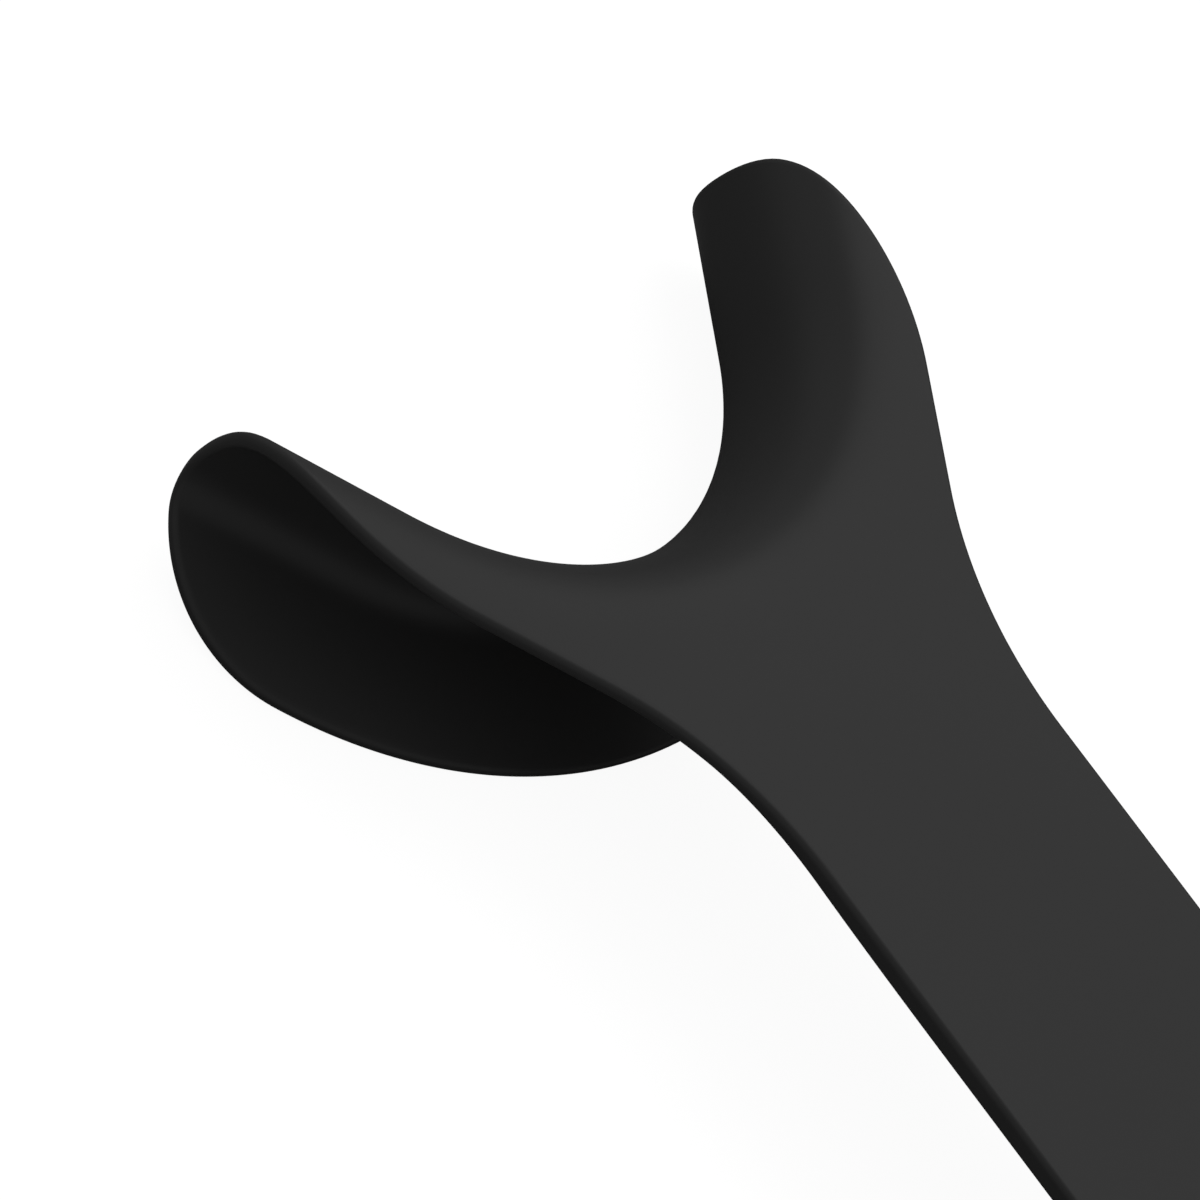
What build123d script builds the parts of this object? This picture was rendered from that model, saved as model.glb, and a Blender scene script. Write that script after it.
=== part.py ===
from build123d import *
from dataclasses import dataclass
from math import atan2, cos, hypot, pi, radians, sin, tan
import os

# Double-ended photographic cheek retractor, in millimetres.
#
# It is a hand instrument made of one formed steel blank under a black polymer coat. The flat
# handle widens at each end into a fork. The border of the fork's notch is rolled over backwards
# into a lip channel: front plate, rolled nose, and a rear flange that flares out behind the plate.
# The lip or cheek sits in that channel while the handle is pulled back.
#
# Frame: X across the handle, Y along it towards the large end, +Z out of the front face.
# The rear flanges stand on Z = 0, and the middle of the part's length and width is on the Z axis.

# Sheet build-up
HANDLE_SHEET = 1.5  # finished thickness of the handle, coat included
FORK_SHEET = 0.95  # and of both forks, which are drawn thinner
COAT = 0.2  # thickness of the coat on each face and round each rim
RIM_ROUND = 0.4  # rounding of the coated rims
TIP_COVER = 0.8  # coat beyond the blank at the very tips, where it is thickest

# Back of the handle, where the sheet grows from one thickness to the other
TAPER_GAP = 3.6  # from the flange's rear rim to the start of the taper
TAPER_EARLY = 4.0  # how far the thin end draws the taper's curve
TAPER_LATE = 14.0  # and the thick end
TAPER_LENGTH = 21.0

# Handle
HANDLE_WIDTH = 22.7
OVERALL_LENGTH = 157.2  # from the tips of the large fork to the tips of the small one

# Construction margin, by which surfaces run past the outline that trims them
RUN_OVER = 6.0

# Straight run kept between two rounded corners of an outline
CORNER_GAP = 0.25

# Where the last point that shapes the nose stands, on the way from its corner to the plate
EASE_SHARE = 0.3


@dataclass
class Fork:
    """Sizes of one working end, measured on its finished outer surface."""

    # Plan of the notch border, which is the nose's crest
    notch_radius: float  # radius round the bottom of the notch
    notch_half_angle: float  # turn from the bottom to a straight arm, degrees
    arm_length: float  # straight run of the border, up to the tip
    tip_width: float  # how far behind the crest the tip's end meets the shoulder's line
    tip_setback: float  # and how far it is drawn back there
    # Section of the lip channel
    nose_reach: float  # from the crest back to where the plate is flat
    nose_drop: float  # from the plate's face down to the crest
    plate_ease: float  # how far the plate's flat draws the nose curve
    front_pull: float  # how far the upright at the crest draws the curve upwards
    rear_pull: float  # and downwards
    channel_height: float  # plate's face down to the flange's line, measured at the crest
    flange_ease: float  # how far the flange's flat draws the nose curve
    flange_turn: float  # flange's turn away from the upright, degrees
    # Plan of the rear flange
    flange_reach: float  # from the crest to the rear rim
    flange_setback: float  # how far its tip is drawn back from the crest's tip
    # Plan of the front plate
    root_back: float  # how far behind the notch bottom the handle starts to widen
    root_radius: float  # radius of the handle's edge there
    shoulder_setback: float  # corner of the shoulder: back from the tip along the arm
    shoulder_behind: float  # and behind the crest


LARGE = Fork(
    notch_radius=20.5,
    notch_half_angle=56.0,
    arm_length=11.0,
    tip_width=1.2,
    tip_setback=0.5,
    nose_reach=9.0,
    nose_drop=8.3,
    plate_ease=7.4,
    front_pull=2.27,
    rear_pull=2.1,
    channel_height=10.85,
    flange_ease=1.2,
    flange_turn=72.0,
    flange_reach=9.35,
    flange_setback=1.6,
    root_back=13.9,
    root_radius=27.4,
    shoulder_setback=7.5,
    shoulder_behind=8.2,
)

SMALL = Fork(
    notch_radius=15.5,
    notch_half_angle=54.0,
    arm_length=8.1,
    tip_width=0.9,
    tip_setback=0.4,
    nose_reach=8.2,
    nose_drop=7.6,
    plate_ease=6.7,
    front_pull=2.08,
    rear_pull=2.0,
    channel_height=9.95,
    flange_ease=1.1,
    flange_turn=72.0,
    flange_reach=8.6,
    flange_setback=1.2,
    root_back=12.0,
    root_radius=27.4,
    shoulder_setback=4.6,
    shoulder_behind=6.4,
)


class Section:
    """Section of the channel's outer surface, drawn into the sheet by an inset.

    Points are (distance behind the crest, height above the plate's face). Two curves make the
    nose. They meet at the crest with one curvature, and run into the plate and the flange with
    none, so that the rims have no kinks where they cross from one to the other.
    """

    def __init__(self, fork, inset):
        self.nose_reach = fork.nose_reach
        turn = radians(fork.flange_turn)
        corner = fork.nose_reach - fork.plate_ease
        rear_corner = corner * (fork.rear_pull / fork.front_pull) ** 2
        crest = (0.0, -fork.nose_drop)

        def on_flange(distance):
            """Point on the flange's line, from where its corner draws the curve."""
            back = rear_corner + distance * sin(turn)
            return (back, -fork.channel_height - back / tan(turn))

        front = [
            (fork.nose_reach, 0.0),
            (corner + fork.plate_ease * EASE_SHARE, 0.0),
            (corner, 0.0),
            (0.0, fork.front_pull - fork.nose_drop),
            crest,
        ]
        rear = [
            (0.0, -fork.rear_pull - fork.nose_drop),
            on_flange(0.0),
            on_flange(fork.flange_ease / 2),
            on_flange(fork.flange_ease),
            on_flange(fork.flange_reach + RUN_OVER),
        ]
        points = [self.place(point) for point in inset_line(front + rear, inset)]
        last_front = len(front)
        self.front_nose = Bezier(*points[:last_front])
        self.rear_nose = Bezier(*points[last_front - 1 : -1])
        self.flange = Line(*points[-2:])

    def place(self, point):
        """Stand a section point up in the YZ plane."""
        return Vector(0, -point[0], point[1])


def inset_line(points, inset):
    """Open run of lines moved to its left by the inset, with its corners kept sharp."""
    lefts = []
    for (x0, y0), (x1, y1) in zip(points, points[1:]):
        length = hypot(x1 - x0, y1 - y0)
        lefts.append(((y0 - y1) / length, (x1 - x0) / length))
    moved = []
    for (x, y), before, after in zip(points, lefts[:1] + lefts, lefts + lefts[-1:]):
        share = inset / (1 + before[0] * after[0] + before[1] * after[1])
        moved.append((x + share * (before[0] + after[0]), y + share * (before[1] + after[1])))
    return moved


class CrestPlan:
    """Plan of the nose's crest: an arc round the notch bottom, then a straight arm each side."""

    def __init__(self, fork):
        turn = radians(fork.notch_half_angle)
        self.axis = Axis((0, fork.notch_radius, 0), (0, 0, 1))
        self.turn = fork.notch_half_angle
        self.along = Vector(cos(turn), sin(turn), 0)
        self.behind = Vector(sin(turn), -cos(turn), 0)
        self.arm_foot = Vector(
            fork.notch_radius * sin(turn), fork.notch_radius * (1 - cos(turn)), 0
        )
        self.arm_length = fork.arm_length
        self.tip = self.arm_foot + self.along * fork.arm_length

    def carry(self, profile):
        """Faces that one edge of the section sweeps round the notch and along both arms."""
        edge = profile.edge()
        faces = [Face.revolve(edge.rotate(self.axis, -self.turn), 2 * self.turn, self.axis)]
        run = self.arm_length + RUN_OVER
        for side in (1, -1):
            reach = Vector(side * self.along.X, self.along.Y, 0) * run
            faces.append(Face.extrude(edge.rotate(self.axis, side * self.turn), reach))
        return faces


def past(start, end):
    """Point beyond the end of a line, on the same line."""
    return end + (end - start).normalized() * RUN_OVER


def level_line(point):
    """Line straight across the part from a point to its mirror image."""
    return Line((point.X, point.Y), (-point.X, point.Y))


def plan_face(points, radii, closing):
    """Plan face from half an outline with rounded corners, its mirror image and closing lines."""
    half = FilletPolyline(*[(p.X, p.Y) for p in points], radius=radii)
    return make_face([*half.edges(), *half.mirror(Plane.YZ).edges(), *closing])


def beyond_tips(fork):
    """Plan strips that cut the blank square across its arms, short of the finished tips."""
    crest = CrestPlan(fork)
    length = 4 * RUN_OVER
    centre = crest.tip + crest.along * (length / 2 - TIP_COVER)
    strip = Pos(centre) * Rot(0, 0, crest.turn) * Rectangle(length, 2 * length)
    return strip + strip.mirror(Plane.YZ)


def drawn_in(plan, inset):
    """Plan face drawn in all round by the inset."""
    return offset(plan, -inset, kind=Kind.INTERSECTION) if inset else plan


def plate_corners(fork, place):
    """Half outline of a fork's front plate, from beyond its tip down to the handle."""
    crest = CrestPlan(fork)
    end = crest.tip + crest.behind * fork.tip_width - crest.along * fork.tip_setback
    shoulder = (
        crest.tip - crest.along * fork.shoulder_setback + crest.behind * fork.shoulder_behind
    )
    root = Vector(HANDLE_WIDTH / 2, -fork.root_back, 0)
    corners = [past(end, crest.tip), end, shoulder, root]
    placed = [(place * Pos(corner)).position for corner in corners]
    return [Vector(abs(corner.X), corner.Y, 0) for corner in placed]


def plate_radii(fork, corners):
    """Radii at the tip, the shoulder and the root. The first two fill the runs they stand in."""
    top, end, shoulder, root = corners
    edges = [end - top, shoulder - end, root - shoulder]
    tip_half, shoulder_half = [
        radians(before.get_angle(after) / 2) for before, after in zip(edges, edges[1:])
    ]
    tip_run = hypot(fork.tip_width, fork.tip_setback) - CORNER_GAP
    shoulder_run = edges[1].length - tip_run - CORNER_GAP
    return [tip_run / tan(tip_half), shoulder_run / tan(shoulder_half), fork.root_radius]


def flange_plan(fork):
    """Plan of the rear half of the nose and the rear flange, whose corner fills the arm's run."""
    crest = CrestPlan(fork)
    corner = crest.tip + crest.behind * fork.flange_reach - crest.along * fork.flange_setback
    foot = crest.arm_foot + crest.behind * fork.flange_reach
    top = past(corner, crest.tip)
    corner_angle = pi / 2 + atan2(fork.flange_setback, fork.flange_reach)
    arm_run = fork.arm_length - fork.flange_setback - CORNER_GAP
    radius = arm_run * tan(corner_angle / 2)
    rim = ThreePointArc((foot.X, foot.Y), (0, -fork.flange_reach), (-foot.X, foot.Y))
    return plan_face([top, corner, foot], radius, [level_line(top), rim])


def notch_plan(fork):
    """Plan of the notch and the nose, up to the line where the plate is flat."""
    crest = CrestPlan(fork)
    foot = crest.arm_foot + crest.behind * fork.nose_reach
    end = foot + crest.along * (fork.arm_length + 3 * RUN_OVER)
    border = ThreePointArc((-foot.X, foot.Y), (0, -fork.nose_reach), (foot.X, foot.Y))
    arms = [Line((side * foot.X, foot.Y), (side * end.X, end.Y)) for side in (1, -1)]
    return make_face([border, *arms, level_line(end)])


def trimmed(faces, plan):
    """Cut carried faces to a plan outline."""
    prism = extrude(plan, amount=OVERALL_LENGTH, both=True)
    return [piece for face in faces for piece in (face & prism).faces()]


def taper_start(fork):
    """How far behind the notch bottom the fork's even sheet ends."""
    return fork.flange_reach + TAPER_GAP


def whole_plan(ends):
    """Plan of the handle and both front plates, past the tips."""
    large, small = [plate_corners(fork, place) for fork, place in ends]
    return plan_face(
        large + small[::-1],
        plate_radii(LARGE, large) + plate_radii(SMALL, small)[::-1],
        [level_line(large[0]), level_line(small[0])],
    )


def fork_sheet(fork, front_plan, inset):
    """Even sheet of one fork, drawn in on all sides by the inset."""
    crest = CrestPlan(fork)
    section = Section(fork, inset)
    rear_plan = drawn_in(flange_plan(fork), inset)
    if inset:
        front_plan -= beyond_tips(fork)
        rear_plan -= beyond_tips(fork)
    handle_side = Pos(0, -taper_start(fork) - OVERALL_LENGTH / 2) * Rectangle(
        OVERALL_LENGTH, OVERALL_LENGTH
    )
    plate = (front_plan - handle_side - notch_plan(fork)).face()
    faces = [plate.moved(Pos(0, 0, -inset))]
    faces += trimmed(crest.carry(section.front_nose), front_plan)
    faces += trimmed(crest.carry(section.rear_nose), rear_plan)
    faces += trimmed(crest.carry(section.flange), rear_plan)
    return Solid.thicken(Shell(Face.sew_faces(faces)[0]), 2 * inset - FORK_SHEET)


def handle_sheet(ends, plan, inset):
    """Handle between the forks, with the taper to the forks' thickness at each end."""
    front, thin, thick = -inset, inset - FORK_SHEET, inset - HANDLE_SHEET
    tapers = []
    for fork, place in ends:
        reaches = (0, TAPER_EARLY, TAPER_LENGTH - TAPER_LATE, TAPER_LENGTH)
        stops = [(place * Pos(0, -taper_start(fork) - reach)).position.Y for reach in reaches]
        heights = (thin, thin, thick, thick)
        tapers.append([Vector(0, y, z) for y, z in zip(stops, heights)])
    large, small = tapers
    corners = [Vector(0, large[0].Y, front), Vector(0, small[0].Y, front)]
    profile = make_face([
        Line(*corners),
        Line(corners[1], small[0]),
        Bezier(*small),
        Line(small[-1], large[-1]),
        Bezier(*large),
        Line(large[0], corners[0]),
    ])
    bar = extrude(profile, amount=OVERALL_LENGTH, both=True)
    return (bar & extrude(plan, amount=OVERALL_LENGTH, both=True)).solid()


def whole_sheet(inset):
    """The instrument with square rims, drawn in on all sides by the inset.

    The large notch's bottom is at Y = 0, and the finished front face is at Z = 0.
    """
    tips = CrestPlan(LARGE).tip.Y + CrestPlan(SMALL).tip.Y
    ends = [(LARGE, Location()), (SMALL, Location((0, tips - OVERALL_LENGTH, 0), (0, 0, 180)))]
    plan = drawn_in(whole_plan(ends), inset)
    sheet = handle_sheet(ends, plan, inset)
    for fork, place in ends:
        sheet += fork_sheet(fork, plan.moved(place.inverse()), inset).moved(place)
    return sheet.solid()


def key_of(edge):
    """Rounded midpoint, by which two edges in one place are matched."""
    return tuple(round(value, 3) for value in edge.position_at(0.5))


def sharp_edges(solid):
    """Edges at which two faces meet at a steep angle."""
    meetings = {}
    for face in solid.faces():
        for edge in face.edges():
            meetings.setdefault(key_of(edge), []).append((edge, face))
    sharp = []
    for (edge, face), (_, other) in meetings.values():
        middle = edge.position_at(0.5)
        if face.normal_at(middle).get_angle(other.normal_at(middle)) > 45:
            sharp.append(edge)
    return sharp


def main():
    square_rimmed = whole_sheet(0.0)
    finished = square_rimmed.fillet(RIM_ROUND, sharp_edges(square_rimmed))
    blank = whole_sheet(COAT)
    box = finished.bounding_box()
    to_frame = Pos(-box.center().X, -box.center().Y, -box.min.Z)
    steel_core = blank.moved(to_frame)
    black_coating = (finished - blank).solid().moved(to_frame)
    os.makedirs("parts", exist_ok=True)
    for name, solid in (("steel_core", steel_core), ("black_coating", black_coating)):
        solid.label = name
        export_step(solid, f"parts/{name}.step")
        size = solid.bounding_box().size
        print(name, "volume", round(solid.volume, 1), "box", [round(v, 2) for v in size])


main()
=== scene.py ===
# %% [markdown]
# # A black cheek retractor
# A cheek retractor is a hand tool that holds the lip and the cheek aside while teeth are
# photographed. This one is taken to be a single sheet of formed steel inside a satin black coat. It
# has no screws, seams or grips, so everything that the eye gets is one flowing surface, and the
# lesson is about making that surface well: how a flat blank is rolled over into a lip channel, how
# its rims are rounded, and how a plain black finish is kept from looking like a hole in the picture.

# %% Load the frame
import bmesh
import bpy
import math
import numpy as np
from dataclasses import dataclass
from mathutils import Matrix, Vector


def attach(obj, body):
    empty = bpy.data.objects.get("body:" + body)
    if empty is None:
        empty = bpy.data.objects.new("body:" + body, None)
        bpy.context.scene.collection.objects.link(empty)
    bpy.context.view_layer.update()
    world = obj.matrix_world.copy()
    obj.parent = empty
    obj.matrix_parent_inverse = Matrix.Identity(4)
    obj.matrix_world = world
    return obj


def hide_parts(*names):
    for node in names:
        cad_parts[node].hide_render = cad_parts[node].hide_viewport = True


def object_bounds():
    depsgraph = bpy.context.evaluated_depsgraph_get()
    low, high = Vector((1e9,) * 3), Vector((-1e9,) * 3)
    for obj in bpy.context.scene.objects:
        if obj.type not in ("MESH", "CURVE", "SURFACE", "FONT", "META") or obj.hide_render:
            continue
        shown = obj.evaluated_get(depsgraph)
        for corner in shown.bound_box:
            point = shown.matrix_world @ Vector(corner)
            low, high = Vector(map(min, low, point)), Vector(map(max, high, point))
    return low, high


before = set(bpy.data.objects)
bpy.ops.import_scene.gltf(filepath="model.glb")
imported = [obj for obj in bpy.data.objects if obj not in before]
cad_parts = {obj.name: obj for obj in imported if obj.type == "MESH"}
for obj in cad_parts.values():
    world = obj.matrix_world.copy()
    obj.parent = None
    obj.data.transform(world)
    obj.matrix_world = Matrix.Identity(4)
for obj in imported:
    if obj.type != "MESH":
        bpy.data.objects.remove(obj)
cad_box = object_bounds()
MM = 0.001  # Blender works in metres, and the sizes below are easier to read in millimetres
print("box of the fixed model, mm:", [[round(v / MM, 1) for v in corner] for corner in cad_box])

# %% [markdown]
# ## The sizes
# Both ends have the same form, so one set of named sizes describes either of them. They are the
# sizes of the finished outer surface. The channel's section is drawn from the nose's crest, which
# is the line where the rolled border stands upright round the notch.

# %% Sizes of the sheet, the handle and the two forks
HANDLE_SHEET = 1.5
FORK_SHEET = 0.95
RIM_ROUND = 0.4
TAPER_GAP = 3.6
TAPER_EARLY = 4.0
TAPER_LATE = 14.0
TAPER_LENGTH = 21.0
HANDLE_WIDTH = 22.7
OVERALL_LENGTH = 157.2
CORNER_GAP = 0.25
FACE_HEIGHT = cad_box[1][2] / MM  # the handle's front face, above the plane that the part lies on


@dataclass
class Fork:
    notch_radius: float
    notch_half_angle: float
    arm_length: float
    tip_width: float
    tip_setback: float
    nose_reach: float
    nose_drop: float
    plate_ease: float
    front_pull: float
    rear_pull: float
    channel_height: float
    flange_ease: float
    flange_turn: float
    flange_reach: float
    flange_setback: float
    root_back: float
    root_radius: float
    shoulder_setback: float
    shoulder_behind: float


LARGE = Fork(
    notch_radius=20.5, notch_half_angle=56.0, arm_length=11.0, tip_width=1.2, tip_setback=0.5,
    nose_reach=9.0, nose_drop=8.3, plate_ease=7.4, front_pull=2.27, rear_pull=2.1,
    channel_height=10.85, flange_ease=1.2, flange_turn=72.0,
    flange_reach=9.35, flange_setback=1.6,
    root_back=13.9, root_radius=27.4, shoulder_setback=7.5, shoulder_behind=8.2,
)
SMALL = Fork(
    notch_radius=15.5, notch_half_angle=54.0, arm_length=8.1, tip_width=0.9, tip_setback=0.4,
    nose_reach=8.2, nose_drop=7.6, plate_ease=6.7, front_pull=2.08, rear_pull=2.0,
    channel_height=9.95, flange_ease=1.1, flange_turn=72.0,
    flange_reach=8.6, flange_setback=1.2,
    root_back=12.0, root_radius=27.4, shoulder_setback=4.6, shoulder_behind=6.4,
)

# %% [markdown]
# ## Wiring nodes with plain arithmetic
# Both the forming of the blank and the finish of its coat are built from nodes. Long chains of
# Math nodes are hard to read as code, so a small class wraps an output socket and turns every
# plus, minus, times and divide on it into a Math node. An expression then reads as it would on
# paper, and any other node comes from the board's one method.

# %% A board of nodes and the wires between them
class Wire:
    """An output socket on a board. Arithmetic on it adds Math nodes."""

    def __init__(self, board, socket):
        self.board = board
        self.socket = socket

    def pick(self, name):
        """Another output of the same node."""
        return Wire(self.board, self.socket.node.outputs[name])

    def maths(self, operation, *values):
        return self.board.add("ShaderNodeMath", {"operation": operation}, dict(enumerate(values)))

    def __add__(self, other):
        return self.maths("ADD", self, other)

    def __sub__(self, other):
        return self.maths("SUBTRACT", self, other)

    def __rsub__(self, other):
        return self.maths("SUBTRACT", other, self)

    def __mul__(self, other):
        return self.maths("MULTIPLY", self, other)

    def __truediv__(self, other):
        return self.maths("DIVIDE", self, other)

    def __neg__(self):
        return self * -1.0

    __radd__ = __add__
    __rmul__ = __mul__


class Board:
    """A node tree in which one call adds one node."""

    def __init__(self, tree):
        self.tree = tree

    def add(self, kind, settings=None, values=None, output=0):
        node = self.tree.nodes.new(kind)
        for name, value in (settings or {}).items():
            setattr(node, name, value)
        for key, value in (values or {}).items():
            if isinstance(value, Wire):
                self.tree.links.new(value.socket, node.inputs[key])
            else:
                node.inputs[key].default_value = value
        return Wire(self, node.outputs[output]) if len(node.outputs) else node


# %% [markdown]
# ## The coat's finish
# The coat is a tough black polymer with a satin skin. Black things are easy to get wrong: a flat
# black swallows every form, and a glossy one turns into a mirror of the studio. The real coat is a
# very dark neutral grey with a broad soft sheen. Three small things make it a surface: a fine
# powdery grain, a slow unevenness as of a dipped coat, and a faint drift of roughness from
# handling. They all read the object's own coordinates, so they stay put from every side.

# %% The satin black material
COAT_COLOUR = 0.04
COAT_ROUGHNESS = 0.44
COAT_SHEEN = 0.32
GRAIN_SIZE = 0.22 * MM
GRAIN_DEPTH = 0.06 * MM
RIPPLE_SIZE = 9.0 * MM
HANDLING_SIZE = 24.0 * MM


def noise(board, place, size, detail=2.0):
    """Noise around 0.5 whose features have about the given size."""
    return board.add(
        "ShaderNodeTexNoise", None, {"Vector": place, "Scale": 1.0 / size, "Detail": detail}
    )


def satin_black():
    material = bpy.data.materials.new("satin_black_coat")
    material.use_nodes = True
    board = Board(material.node_tree)
    shader = material.node_tree.nodes["Principled BSDF"]
    place = board.add("ShaderNodeTexCoord").pick("Object")
    handling = noise(board, place, HANDLING_SIZE)
    grain = noise(board, place, GRAIN_SIZE)
    ripple = noise(board, place, RIPPLE_SIZE, detail=0.0)
    shade = COAT_COLOUR * (0.94 + handling * 0.08 + grain * 0.04)
    grey = {"Red": shade, "Green": shade, "Blue": shade}
    colour = board.add("ShaderNodeCombineColor", None, grey)
    roughness = COAT_ROUGHNESS + (handling - 0.5) * 0.08 + (grain - 0.5) * 0.05
    height = grain * 0.12 + ripple
    bump = board.add(
        "ShaderNodeBump", None, {"Height": height, "Strength": 0.12, "Distance": GRAIN_DEPTH}
    )
    board.tree.links.new(colour.socket, shader.inputs["Base Color"])
    board.tree.links.new(roughness.socket, shader.inputs["Roughness"])
    board.tree.links.new(bump.socket, shader.inputs["Normal"])
    shader.inputs["Specular IOR Level"].default_value = COAT_SHEEN
    return material


coat_finish = satin_black()
print("coat nodes:", len(coat_finish.node_tree.nodes))

# %% [markdown]
# ## The steel inside
# The blank is sealed in the coat and never shows in a render. It is part of the fixed model, so it
# still gets a finish of its own: stainless sheet with the fine straight grain of rolling.

# %% The rolled steel material
STEEL_COLOUR = (0.56, 0.56, 0.55, 1.0)
STREAKS_PER_METRE = (9000.0, 300.0, 9000.0)  # fine across the sheet and long down the handle


def rolled_steel():
    material = bpy.data.materials.new("rolled_steel")
    material.use_nodes = True
    board = Board(material.node_tree)
    shader = material.node_tree.nodes["Principled BSDF"]
    place = board.add("ShaderNodeTexCoord").pick("Object")
    stretched = board.add(
        "ShaderNodeMapping", None, {"Vector": place, "Scale": STREAKS_PER_METRE}
    )
    streaks = board.add("ShaderNodeTexNoise", None, {"Vector": stretched, "Scale": 1.0})
    roughness = 0.28 + streaks * 0.14
    board.tree.links.new(roughness.socket, shader.inputs["Roughness"])
    shader.inputs["Base Color"].default_value = STEEL_COLOUR
    shader.inputs["Metallic"].default_value = 1.0
    return material


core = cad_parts["steel_core"]
core.data.materials.clear()
core.data.materials.append(rolled_steel())

# %% [markdown]
# ## The section of the lip channel
# Cut across a fork's border, the sheet shows one flowing line. It leaves the flat plate, rolls
# over into a nose that stands upright at the crest, and turns back under as a flange that flares
# away from the plate. Two curves of the fourth degree make the nose. They share one curvature at
# the crest and run into the plate and the flange with none, so the soft light on the black coat
# never breaks along a line.

# %% The section as one smooth line
CURVE_STEPS = 160
EASE_SHARE = 0.3
PLATE_RUN = 60.0  # flat stretch behind the nose, long enough for any point on the fork's plate
FLANGE_RUN = 20.0


def bezier(points):
    """Points along a Bezier curve of any degree."""
    share = np.linspace(0, 1, CURVE_STEPS)[:, None]
    rows = [np.tile(np.array(point, float), (CURVE_STEPS, 1)) for point in points]
    while len(rows) > 1:
        rows = [a * (1 - share) + b * share for a, b in zip(rows, rows[1:])]
    return rows[0]


class Section:
    """Points (behind the crest, height) from the flange to the plate, with their run from it."""

    def __init__(self, fork):
        turn = math.radians(fork.flange_turn)
        corner = fork.nose_reach - fork.plate_ease
        rear_corner = corner * (fork.rear_pull / fork.front_pull) ** 2
        crest = (0.0, -fork.nose_drop)

        def on_flange(distance):
            back = rear_corner + distance * math.sin(turn)
            return (back, -fork.channel_height - back / math.tan(turn))

        front = bezier([
            crest,
            (0.0, fork.front_pull - fork.nose_drop),
            (corner, 0.0),
            (corner + fork.plate_ease * EASE_SHARE, 0.0),
            (fork.nose_reach, 0.0),
        ])
        rear = bezier([
            crest,
            (0.0, -fork.rear_pull - fork.nose_drop),
            on_flange(0.0),
            on_flange(fork.flange_ease / 2),
            on_flange(fork.flange_ease),
        ])
        plate = (fork.nose_reach + PLATE_RUN, 0.0)
        self.points = np.vstack([on_flange(FLANGE_RUN), rear[::-1], front[1:], plate])
        steps = np.hypot(*np.diff(self.points, axis=0).T)
        run = np.append(0.0, np.cumsum(steps))
        self.crest_run = run[CURVE_STEPS]
        self.run = run - self.crest_run

    def run_to(self, behind, side):
        """Run from the crest to the point that far behind it, on the plate's or flange's side."""
        half = slice(CURVE_STEPS, None) if side == "plate" else slice(CURVE_STEPS, None, -1)
        return np.interp(behind, self.points[half, 0], self.run[half])


for name, fork in (("large", LARGE), ("small", SMALL)):
    section = Section(fork)
    rolled = section.run_to(fork.nose_reach, "plate") - section.run_to(fork.flange_reach, "flange")
    print(f"{name} fork: {rolled:.1f} mm of sheet from the plate to the flange's rim")

# %% [markdown]
# ## The plan of the notch
# Seen from the front, the crest is an arc round the notch and then a straight arm on each side.
# Any point of the sheet is named by two numbers: how far along the crest it lies, and how far
# across. That is the map of the flat blank, and forming the blank only bends this map.

# %% The crest in plan, and the way back from the plan to the map
class Notch:
    """Plan of one fork's crest, with the notch's bottom at the origin and the tips towards +Y."""

    def __init__(self, fork):
        self.radius = fork.notch_radius
        self.turn = math.radians(fork.notch_half_angle)
        self.along = np.array([math.cos(self.turn), math.sin(self.turn)])
        self.behind = np.array([math.sin(self.turn), -math.cos(self.turn)])
        self.foot = np.array([0.0, self.radius]) + self.radius * self.behind
        self.tip = self.foot + self.along * fork.arm_length
        self.arc_run = self.radius * self.turn
        self.half_run = self.arc_run + fork.arm_length

    def unroll(self, points):
        """(run along the crest, distance behind it) of points on the right half of the plan."""
        points = np.atleast_2d(points)
        turn = np.arctan2(points[:, 0], self.radius - points[:, 1])
        out = np.hypot(points[:, 0], self.radius - points[:, 1]) - self.radius
        round_notch = np.column_stack([turn * self.radius, out])
        from_foot = points - self.foot
        on_arm = np.column_stack([self.arc_run + from_foot @ self.along, from_foot @ self.behind])
        return np.where((turn < self.turn)[:, None], round_notch, on_arm)


# %% [markdown]
# ## The outline of the blank
# The front plate's outline runs from the tip over a wide shoulder into the handle, and the
# flange's outline runs from the same tip round a corner to an even reach behind the notch. Each
# is a few straight lines with rounded corners. They are walked from the tip in steps that start
# tiny and grow, because on the map both outlines leave the tip square to the crest.

# %% Outlines with rounded corners
ARC_STEPS = 90
OUTLINE_STEPS = 4000
ROOT_SPARE = 1.0  # straight stretch between the root's arc and the handle's own patches


def rounded_path(corners, runs):
    """Straight lines between corners, each rounded by an arc that starts that run before it."""
    corners = [np.array(corner, float) for corner in corners]
    path = [corners[0]]
    for before, corner, after, run in zip(corners, corners[1:], corners[2:], runs):
        enter = (corner - before) / np.linalg.norm(corner - before)
        leave = (after - corner) / np.linalg.norm(after - corner)
        turn = math.atan2(enter[0] * leave[1] - enter[1] * leave[0], enter @ leave)
        radius = run / math.tan(abs(turn) / 2)
        start = corner - enter * run
        inward = math.copysign(radius, turn) * np.array([-enter[1], enter[0]])
        for angle in np.linspace(0, turn, ARC_STEPS):
            spoke = -inward * math.cos(angle) - np.array([-inward[1], inward[0]]) * math.sin(angle)
            path.append(start + inward + spoke)
    path.append(corners[-1])
    return np.array(path)


def walk(path):
    """The path again, in steps that grow from its start."""
    run = np.append(0.0, np.cumsum(np.linalg.norm(np.diff(path, axis=0), axis=1)))
    stops = run[-1] * np.linspace(0, 1, OUTLINE_STEPS) ** 2
    return np.column_stack([np.interp(stops, run, path[:, axis]) for axis in (0, 1)])


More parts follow.
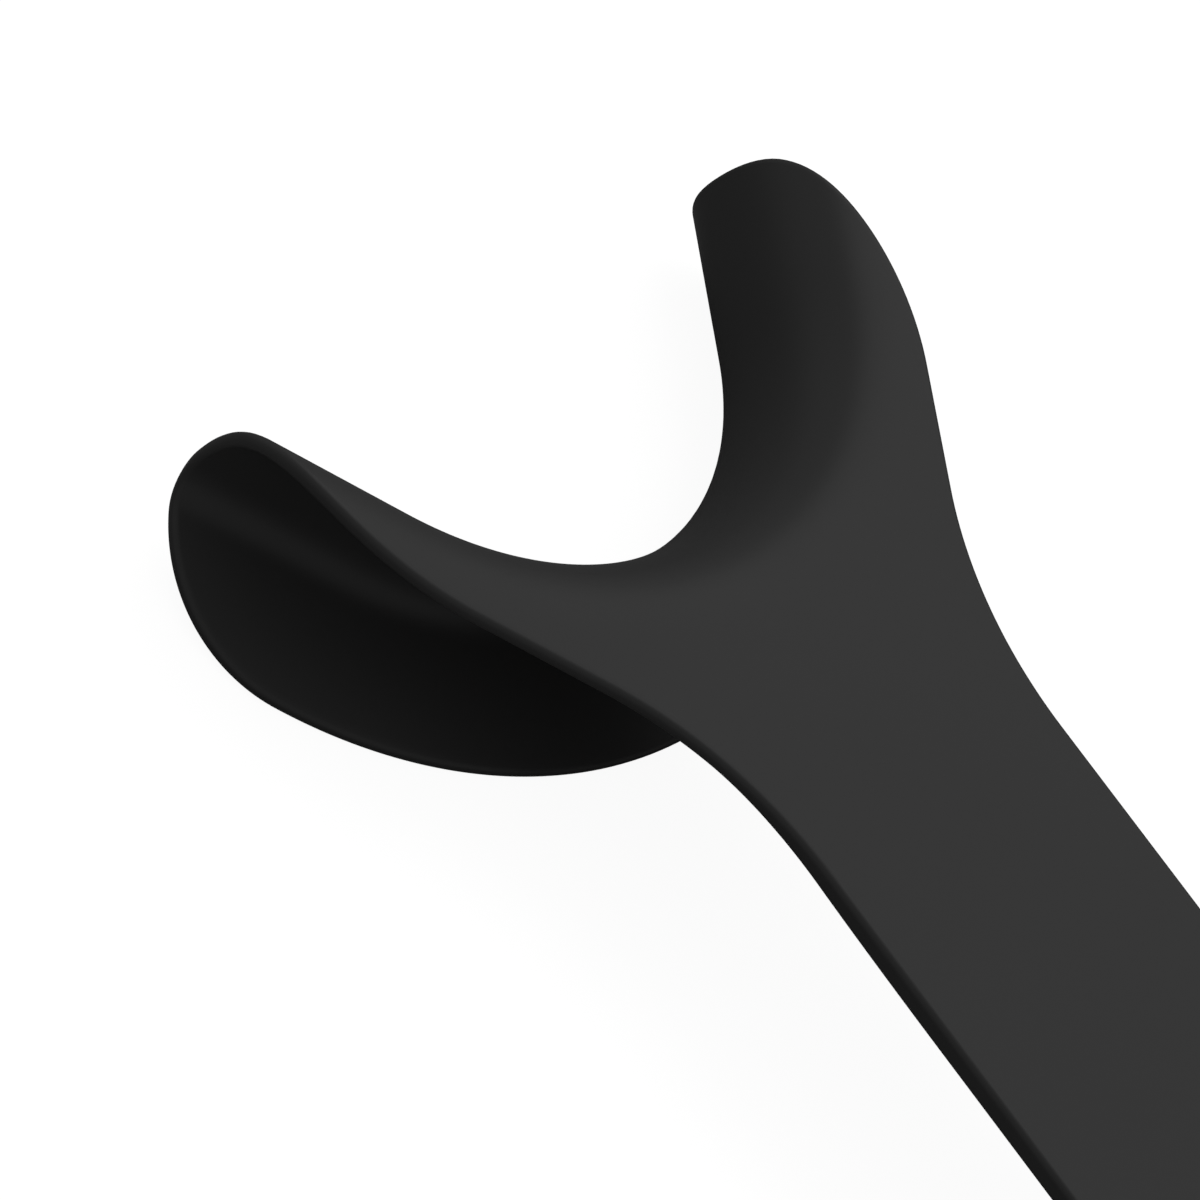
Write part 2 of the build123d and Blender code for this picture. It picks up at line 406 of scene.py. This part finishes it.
class Outline:
    """One fork's whole rim on the map, as (run along the crest, run across from the crest)."""

    def __init__(self, fork):
        self.notch = Notch(fork)
        self.section = Section(fork)
        tip = self.notch.tip
        end = tip + self.notch.behind * fork.tip_width - self.notch.along * fork.tip_setback
        shoulder = (
            tip
            - self.notch.along * fork.shoulder_setback
            + self.notch.behind * fork.shoulder_behind
        )
        root = np.array([HANDLE_WIDTH / 2, -fork.root_back])
        lean = math.atan2(shoulder[0] - root[0], shoulder[1] - root[1])
        root_run = fork.root_radius * math.tan(lean / 2)
        self.handle_start = fork.root_back + root_run + ROOT_SPARE
        handle = (HANDLE_WIDTH / 2, -self.handle_start)
        tip_run = math.hypot(fork.tip_width, fork.tip_setback) - CORNER_GAP
        shoulder_run = np.linalg.norm(shoulder - end) - tip_run - CORNER_GAP
        plate_path = rounded_path(
            [tip, end, shoulder, root, handle], [tip_run, shoulder_run, root_run]
        )
        half = self.notch.half_run
        flange_end = (half - fork.flange_setback, fork.flange_reach)
        flange_path = rounded_path(
            [(half, 0.0), flange_end, (0.0, fork.flange_reach)],
            [fork.arm_length - fork.flange_setback - CORNER_GAP],
        )
        plate = self.on_map(self.notch.unroll(walk(plate_path)), "plate")
        flange = self.on_map(walk(flange_path), "flange")
        self.rim = np.vstack([plate[:0:-1], flange])
        steps = np.linalg.norm(np.diff(self.rim, axis=0), axis=1)
        self.run = np.append(0.0, np.cumsum(steps))
        self.tip_run = self.run[len(plate) - 1]

    def on_map(self, points, side):
        return np.column_stack([points[:, 0], self.section.run_to(points[:, 1], side)])

    def stations(self, runs):
        """Points on the rim and its direction there, at runs from the handle round the tip."""
        direction = np.gradient(self.rim, self.run, axis=0)
        points = [np.interp(runs, self.run, self.rim[:, axis]) for axis in (0, 1)]
        directions = [np.interp(runs, self.run, direction[:, axis]) for axis in (0, 1)]
        return np.column_stack(points), np.column_stack(directions)

    def stretch(self, spots):
        """How much longer the formed sheet is than the map, along the crest."""
        behind = np.interp(spots[:, 1], self.section.run, self.section.points[:, 0])
        round_notch = np.abs(spots[:, 0]) < self.notch.arc_run
        return np.where(round_notch, 1 + behind / self.notch.radius, 1.0)

    def plan_height(self, spots):
        """How far up the page from the notch's bottom the formed points lie."""
        behind = np.interp(spots[..., 1], self.section.run, self.section.points[:, 0])
        turn = np.clip(spots[..., 0] / self.notch.radius, -self.notch.turn, self.notch.turn)
        arm = np.abs(spots[..., 0]) - np.abs(turn) * self.notch.radius
        radius = self.notch.radius
        return radius - (radius + behind) * np.cos(turn) + arm * self.notch.along[1]


for name, fork in (("large", LARGE), ("small", SMALL)):
    outline = Outline(fork)
    tip = np.round(outline.notch.tip, 2)
    print(f"{name} fork: tip at {tip}, handle from {outline.handle_start:.1f}")

# %% [markdown]
# ## The flat blank, with rounded rims
# The blank is drawn on the map as a flat plate with its true thickness, which is less in the forks
# than in the handle. Its faces are grids whose columns run across the sheet, from the flange's rim
# to the plate's, and whose last column is the tip's own end. Round them goes a strip: an arc, the
# straight edge of the sheet, and another arc. The strip's offsets are measured on the formed
# sheet, so a round rim stays round where forming stretches the map.

# %% Patches of the blank
HANDLE_COLUMNS = 10
HANDLE_ROWS = 70
SIDE_COLUMNS = 84
ROWS = 72
RIM_STEPS = 5
END_HALF = 1.3  # half the length of the tip's own end, along the rim


def thickness(fork, height):
    """Thickness of the sheet at a height on the page, measured up from the notch's bottom."""
    curve = bezier([
        (0.0, FORK_SHEET),
        (TAPER_EARLY, FORK_SHEET),
        (TAPER_LENGTH - TAPER_LATE, HANDLE_SHEET),
        (TAPER_LENGTH, HANDLE_SHEET),
    ])
    return np.interp(-height - fork.flange_reach - TAPER_GAP, curve[:, 0], curve[:, 1])


def rim_profile(sheet):
    """(distance in from the rim, depth below the outer face) round the edge of each sheet."""
    angles = np.linspace(0, math.pi / 2, RIM_STEPS + 1)
    inset = RIM_ROUND * (1 - np.sin(angles))
    depth = RIM_ROUND * (1 - np.cos(angles))
    insets = np.broadcast_to(np.append(inset, inset[::-1]), (len(sheet), 2 * len(inset)))
    outer = np.broadcast_to(-depth, (len(sheet), len(depth)))
    return insets, np.hstack([outer, depth[::-1] - sheet[:, None]])


def lifted(spots, depth):
    """Flat spots as points at a depth, or each at its own."""
    depths = np.broadcast_to(depth, spots.shape[:-1])
    return np.concatenate([spots, depths[..., None]], axis=-1)


def mirrored(spots):
    return spots * (-1, 1)


def fork_patches(fork):
    """Grids of points that cover one fork's blank, on the map."""
    outline = Outline(fork)
    notch = outline.notch
    handle_x = np.linspace(0, HANDLE_WIDTH / 2, HANDLE_COLUMNS + 1)
    root_line = np.column_stack([handle_x, np.full(len(handle_x), -outline.handle_start)])
    handle_along = notch.unroll(root_line)[:, 0]
    middle_run = outline.run[-1]
    side_end = middle_run - handle_along[-1]
    plate_runs = np.linspace(0, outline.tip_run - END_HALF, SIDE_COLUMNS + 1)
    end_runs = np.linspace(outline.tip_run - END_HALF, outline.tip_run + END_HALF, ROWS + 1)
    flange_runs = np.linspace(outline.tip_run + END_HALF, side_end, SIDE_COLUMNS + 1)
    under_handle = middle_run - handle_along[-2::-1]
    runs = np.concatenate([plate_runs, end_runs[1:], flange_runs[1:], under_handle])
    rim, direction = outline.stations(runs)
    stretch = outline.stretch(rim)
    direction[:, 0] *= stretch
    outward = np.column_stack([-direction[:, 1], direction[:, 0]])
    outward /= np.linalg.norm(direction, axis=1)[:, None]
    outward[:, 0] /= stretch
    inset = rim - outward * RIM_ROUND
    inner_x = root_line[:-1] * ((HANDLE_WIDTH / 2 - RIM_ROUND) / (HANDLE_WIDTH / 2), 1)
    front = np.vstack([outline.on_map(notch.unroll(inner_x), "plate"), inset[: SIDE_COLUMNS + 1]])
    rear = inset[SIDE_COLUMNS + ROWS :][::-1]
    rows = np.linspace(0, 1, ROWS + 1)[None, :, None]
    face = rear[:, None] * (1 - rows) + front[:, None] * rows
    face[-1] = inset[SIDE_COLUMNS : SIDE_COLUMNS + ROWS + 1][::-1]
    face = np.concatenate([mirrored(face[:0:-1]), face])
    insets, depths = rim_profile(thickness(fork, outline.plan_height(inset)))
    strip = lifted(rim[:, None] - outward[:, None] * insets[..., None], depths)
    other_side = strip[-2::-1] * (-1, 1, 1)
    sheet = thickness(fork, outline.plan_height(face))
    return [lifted(face, 0.0), lifted(face, -sheet), np.vstack([strip, other_side])]


def handle_patches(start, end, large_bottom, small_bottom):
    """Grids that cover the handle from start to end on the page, between the notches' bottoms."""
    inner = HANDLE_WIDTH / 2 - RIM_ROUND
    x = np.linspace(-inner, inner, 2 * HANDLE_COLUMNS + 1)
    y = np.linspace(start, end, HANDLE_ROWS)
    sheet = np.minimum(thickness(LARGE, y - large_bottom), thickness(SMALL, small_bottom - y))
    face = np.stack(np.meshgrid(x, y, indexing="ij"), axis=-1)
    insets, depths = rim_profile(sheet)
    heights = np.broadcast_to(y[:, None], insets.shape)
    edge = np.stack([HANDLE_WIDTH / 2 - insets, heights, depths], axis=-1)
    return [lifted(face, 0.0), lifted(face, -sheet), edge, edge * (-1, 1, 1)]


def mesh_of(name, patches):
    """One mesh from grids of points in millimetres."""
    points = []
    faces = []
    for patch in patches:
        columns, rows = patch.shape[:2]
        index = np.arange(columns * rows).reshape(columns, rows) + len(points)
        points += (patch.reshape(-1, 3) * MM).tolist()
        corners = [index[:-1, :-1], index[1:, :-1], index[1:, 1:], index[:-1, 1:]]
        faces += np.stack(corners, axis=-1).reshape(-1, 4).tolist()
    mesh = bpy.data.meshes.new(name)
    mesh.from_pydata(points, [], faces)
    made = bpy.data.objects.new(name, mesh)
    bpy.context.scene.collection.objects.link(made)
    return made


# %% [markdown]
# ## Forming the blank with Geometry Nodes
# A press bends the flat blank round a tool. Here a node tree does the same to every point. It
# looks up the point's run across on the section's line, which gives how far behind the crest it
# lands, how high, and which way the surface faces there. It then carries that section to the
# point's place along the crest: first round the notch, then out along the straight arm. The depth
# below the outer face is laid off along the surface's own normal, so the sheet keeps its
# thickness round the nose. A maker changes the notch or the section, and the blank follows.

# %% The forming tree
def forming_tree():
    tree = bpy.data.node_groups.new("form_the_blank", "GeometryNodeTree")
    sockets = tree.interface
    sockets.new_socket("Blank", in_out="INPUT", socket_type="NodeSocketGeometry")
    sockets.new_socket("Section", in_out="INPUT", socket_type="NodeSocketObject")
    for name in ("Crest Run", "Notch Radius", "Half Turn", "Facing"):
        sockets.new_socket(name, in_out="INPUT", socket_type="NodeSocketFloat")
    sockets.new_socket("Place", in_out="INPUT", socket_type="NodeSocketVector")
    sockets.new_socket("Finish", in_out="INPUT", socket_type="NodeSocketMaterial")
    sockets.new_socket("Formed", in_out="OUTPUT", socket_type="NodeSocketGeometry")
    board = Board(tree)
    given = board.add("NodeGroupInput")
    spot = board.add("ShaderNodeSeparateXYZ", None, {0: board.add("GeometryNodeInputPosition")})
    along, across, depth = spot.pick("X"), spot.pick("Y"), spot.pick("Z")

    line = board.add("GeometryNodeObjectInfo", None, {"Object": given.pick("Section")})
    sample = board.add(
        "GeometryNodeSampleCurve",
        {"mode": "LENGTH"},
        {"Curves": line.pick("Geometry"), "Length": across + given.pick("Crest Run")},
    )
    place = board.add("ShaderNodeSeparateXYZ", None, {0: sample.pick("Position")})
    tangent = board.add("ShaderNodeSeparateXYZ", None, {0: sample.pick("Tangent")})
    behind = place.pick("X") - depth * tangent.pick("Y")
    height = place.pick("Y") + depth * tangent.pick("X")

    radius, half_turn = given.pick("Notch Radius"), given.pick("Half Turn")
    turn = along / radius
    turn = turn.maths("MINIMUM", turn, half_turn)
    turn = turn.maths("MAXIMUM", turn, -half_turn)
    arm = along - turn * radius
    sine, cosine = turn.maths("SINE", turn), turn.maths("COSINE", turn)
    x = (radius + behind) * sine + arm * cosine
    y = radius - (radius + behind) * cosine + arm * sine
    formed = board.add(
        "GeometryNodeSetPosition",
        None,
        {
            "Geometry": given.pick("Blank"),
            "Position": board.add("ShaderNodeCombineXYZ", None, {"X": x, "Y": y, "Z": height}),
        },
    )
    facing = board.add("ShaderNodeCombineXYZ", None, {"Z": given.pick("Facing")})
    placed = board.add(
        "GeometryNodeTransform",
        None,
        {"Geometry": formed, "Translation": given.pick("Place"), "Rotation": facing},
    )
    real = board.add("GeometryNodeRealizeInstances", None, {"Geometry": placed})
    coated = board.add(
        "GeometryNodeSetMaterial", None, {"Geometry": real, "Material": given.pick("Finish")}
    )
    board.add("NodeGroupOutput", None, {"Formed": coated})
    return tree


form_the_blank = forming_tree()
print("forming tree nodes:", len(form_the_blank.nodes))


# %% [markdown]
# ## Both forks and the handle as one sheet
# Each fork's blank goes through the tree with its own sizes. The small one is turned half round
# and set at the other end. The straight handle between them is flat already. The three then
# become one mesh: their borders share every point, so merging what coincides closes the sheet.

# %% Form, join and close
WELD = 0.004 * MM


def section_line(fork):
    """The section as a curve that the tree can sample."""
    section = Section(fork)
    curve = bpy.data.curves.new("section_line", "CURVE")
    curve.dimensions = "3D"
    spline = curve.splines.new("POLY")
    spline.points.add(len(section.points) - 1)
    for point, (behind, height) in zip(spline.points, section.points * MM):
        point.co = (behind, height, 0.0, 1.0)
    line = bpy.data.objects.new("section_line", curve)
    bpy.context.scene.collection.objects.link(line)
    return line, section.crest_run * MM


def set_input(modifier, name, value):
    """Set a tree's named input on its modifier."""
    for socket in modifier.node_group.interface.items_tree:
        if socket.item_type == "SOCKET" and socket.in_out == "INPUT" and socket.name == name:
            modifier[socket.identifier] = value


def formed_fork(name, fork, facing, notch_y):
    """Plain mesh of one fork, formed and in its place."""
    blank = mesh_of(name, fork_patches(fork))
    line, crest_run = section_line(fork)
    modifier = blank.modifiers.new("forming", "NODES")
    modifier.node_group = form_the_blank
    set_input(modifier, "Section", line)
    set_input(modifier, "Crest Run", crest_run)
    set_input(modifier, "Notch Radius", fork.notch_radius * MM)
    set_input(modifier, "Half Turn", math.radians(fork.notch_half_angle))
    set_input(modifier, "Facing", facing)
    set_input(modifier, "Place", (0.0, notch_y * MM, FACE_HEIGHT * MM))
    set_input(modifier, "Finish", coat_finish)
    graph = bpy.context.evaluated_depsgraph_get()
    formed = bpy.data.meshes.new_from_object(blank.evaluated_get(graph))
    for helper in (blank, line):
        bpy.data.objects.remove(helper)
    return formed


large_notch_y = OVERALL_LENGTH / 2 - Notch(LARGE).tip[1]
small_notch_y = Notch(SMALL).tip[1] - OVERALL_LENGTH / 2
parts = [
    formed_fork("large_fork", LARGE, 0.0, large_notch_y),
    formed_fork("small_fork", SMALL, math.pi, small_notch_y),
]
handle = mesh_of(
    "handle",
    handle_patches(
        large_notch_y - Outline(LARGE).handle_start,
        small_notch_y + Outline(SMALL).handle_start,
        large_notch_y,
        small_notch_y,
    ),
)
handle.data.transform(Matrix.Translation((0.0, 0.0, FACE_HEIGHT * MM)))
parts.append(handle.data)
print("points before joining:", [len(part.vertices) for part in parts])

sheet = bmesh.new()
for part in parts:
    sheet.from_mesh(part)
bpy.data.objects.remove(handle)
bmesh.ops.remove_doubles(sheet, verts=sheet.verts, dist=WELD)
bmesh.ops.recalc_face_normals(sheet, faces=sheet.faces)
open_edges = sum(len(edge.link_faces) != 2 for edge in sheet.edges)
for face in sheet.faces:
    face.smooth = True
mesh = bpy.data.meshes.new("coated_sheet")
sheet.to_mesh(mesh)
sheet.free()
mesh.materials.clear()
mesh.materials.append(coat_finish)
coated_sheet = bpy.data.objects.new("coated_sheet", mesh)
bpy.context.scene.collection.objects.link(coated_sheet)
weighted = coated_sheet.modifiers.new("even_shading", "WEIGHTED_NORMAL")
weighted.keep_sharp = False
print("coated sheet:", len(mesh.polygons), "faces,", open_edges, "open edges")

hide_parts("black_coating")
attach(coated_sheet, "root")

# %% [markdown]
# ## The floor and the light
# The photograph has a clean white ground. A white floor under strong light would bounce so much
# back that the black coat turns grey, so the floor is a quiet mid tone to every ray but the
# camera's, and looks white only to the camera. Its own shading stays in the mix, and with it the
# object's soft shadow. A large soft lamp from the upper right lights the handle's face evenly, and
# a weaker one beyond the tips lifts the rolled noses. The surround is white to the camera and dim
# to everything else. No metal or glass shows here, so its brightness to reflections stays low too:
# a bright surround would veil the satin black.

# %% The floor
FLOOR_SIZE = 6.0
FLOOR_TONE = 0.3
FLOOR_ROUGHNESS = 0.9
FLOOR_LIFT = 0.93  # glow that only the camera sees, which brings the lit floor up to white


def floor_material():
    material = bpy.data.materials.new("pale_floor")
    material.use_nodes = True
    board = Board(material.node_tree)
    shader = material.node_tree.nodes["Principled BSDF"]
    shader.inputs["Base Color"].default_value = (FLOOR_TONE, FLOOR_TONE, FLOOR_TONE, 1.0)
    shader.inputs["Roughness"].default_value = FLOOR_ROUGHNESS
    shader.inputs["Specular IOR Level"].default_value = 0.0
    seen = board.add("ShaderNodeLightPath").pick("Is Camera Ray")
    shader.inputs["Emission Color"].default_value = (1.0, 1.0, 1.0, 1.0)
    board.tree.links.new((seen * FLOOR_LIFT).socket, shader.inputs["Emission Strength"])
    return material


bpy.ops.mesh.primitive_plane_add(size=FLOOR_SIZE, location=(0.0, 0.0, 0.0))
floor = bpy.context.object
floor.name = "floor"
floor.data.materials.append(floor_material())

# %% The lamps and the surround
AMBIENT = 0.245  # the white surround's strength for all but the camera


def area_lamp(name, place, target, size, watts):
    lamp = bpy.data.lights.new(name, "AREA")
    lamp.shape = "DISK"
    lamp.size = size
    lamp.energy = watts
    made = bpy.data.objects.new(name, lamp)
    made.location = place
    made.rotation_euler = (Vector(place) - Vector(target)).to_track_quat("Z", "Y").to_euler()
    bpy.context.scene.collection.objects.link(made)


near_notch = (0.0, large_notch_y * MM, 0.0)
area_lamp("key_softbox", (0.62, 0.2, 0.8), near_notch, 1.1, 2.0)
area_lamp("tip_softbox", (-0.1, 0.85, 0.35), near_notch, 0.8, 0.25)

world = bpy.data.worlds.new("studio")
bpy.context.scene.world = world
world.use_nodes = True
world_board = Board(world.node_tree)
background = world.node_tree.nodes["Background"]
background.inputs["Color"].default_value = (1.0, 1.0, 1.0, 1.0)
seen = world_board.add("ShaderNodeLightPath").pick("Is Camera Ray")
world_board.tree.links.new((seen + (1 - seen) * AMBIENT).socket, background.inputs["Strength"])

# %% [markdown]
# ## The camera
# The photograph looks down on the large fork from the left, with the camera rolled so that the
# handle leaves at the lower right. The outlines of the notch, the plate and the flange fix the
# direction, the roll and the distance together, because a near camera makes the close parts
# larger. The camera is then turned a little, until the notch's bottom sits where it is in the
# picture. That keeps the lens free of any shift.

# %% Camera from the photograph
FRAME_PIXELS = 1200
NOTCH_PIXEL = (714.3, 489.4)  # the notch's bottom at the height of the handle's face
PIXELS_PER_MM = 17.427  # there, square to the view
CAMERA_DISTANCE = 450.0
CAMERA_BEARING = -169.50  # degrees round from +X
CAMERA_HEIGHT = 44.02  # degrees above the floor
CAMERA_ROLL = 45.57
SENSOR_WIDTH = 36.0


def photo_camera():
    bearing, height = math.radians(CAMERA_BEARING), math.radians(CAMERA_HEIGHT)
    away = Vector((
        math.cos(height) * math.cos(bearing),
        math.cos(height) * math.sin(bearing),
        math.sin(height),
    ))
    focal = PIXELS_PER_MM * CAMERA_DISTANCE
    data = bpy.data.cameras.new("photo_camera")
    data.sensor_width = SENSOR_WIDTH
    data.lens = SENSOR_WIDTH * focal / FRAME_PIXELS
    data.clip_start = 0.01
    camera = bpy.data.objects.new("photo_camera", data)
    bpy.context.scene.collection.objects.link(camera)
    sideways = math.atan((NOTCH_PIXEL[0] - FRAME_PIXELS / 2) / focal)
    upwards = math.atan((FRAME_PIXELS / 2 - NOTCH_PIXEL[1]) / focal)
    notch = Vector((0.0, large_notch_y * MM, FACE_HEIGHT * MM))
    camera.matrix_world = (
        Matrix.Translation(notch + away * CAMERA_DISTANCE * MM)
        @ away.to_track_quat("Z", "Y").to_matrix().to_4x4()
        @ Matrix.Rotation(math.radians(CAMERA_ROLL), 4, "Z")
        @ Matrix.Rotation(sideways, 4, "Y")
        @ Matrix.Rotation(-upwards, 4, "X")
    )
    return camera


bpy.context.scene.camera = photo_camera()
bpy.context.scene.view_settings.view_transform = "Standard"
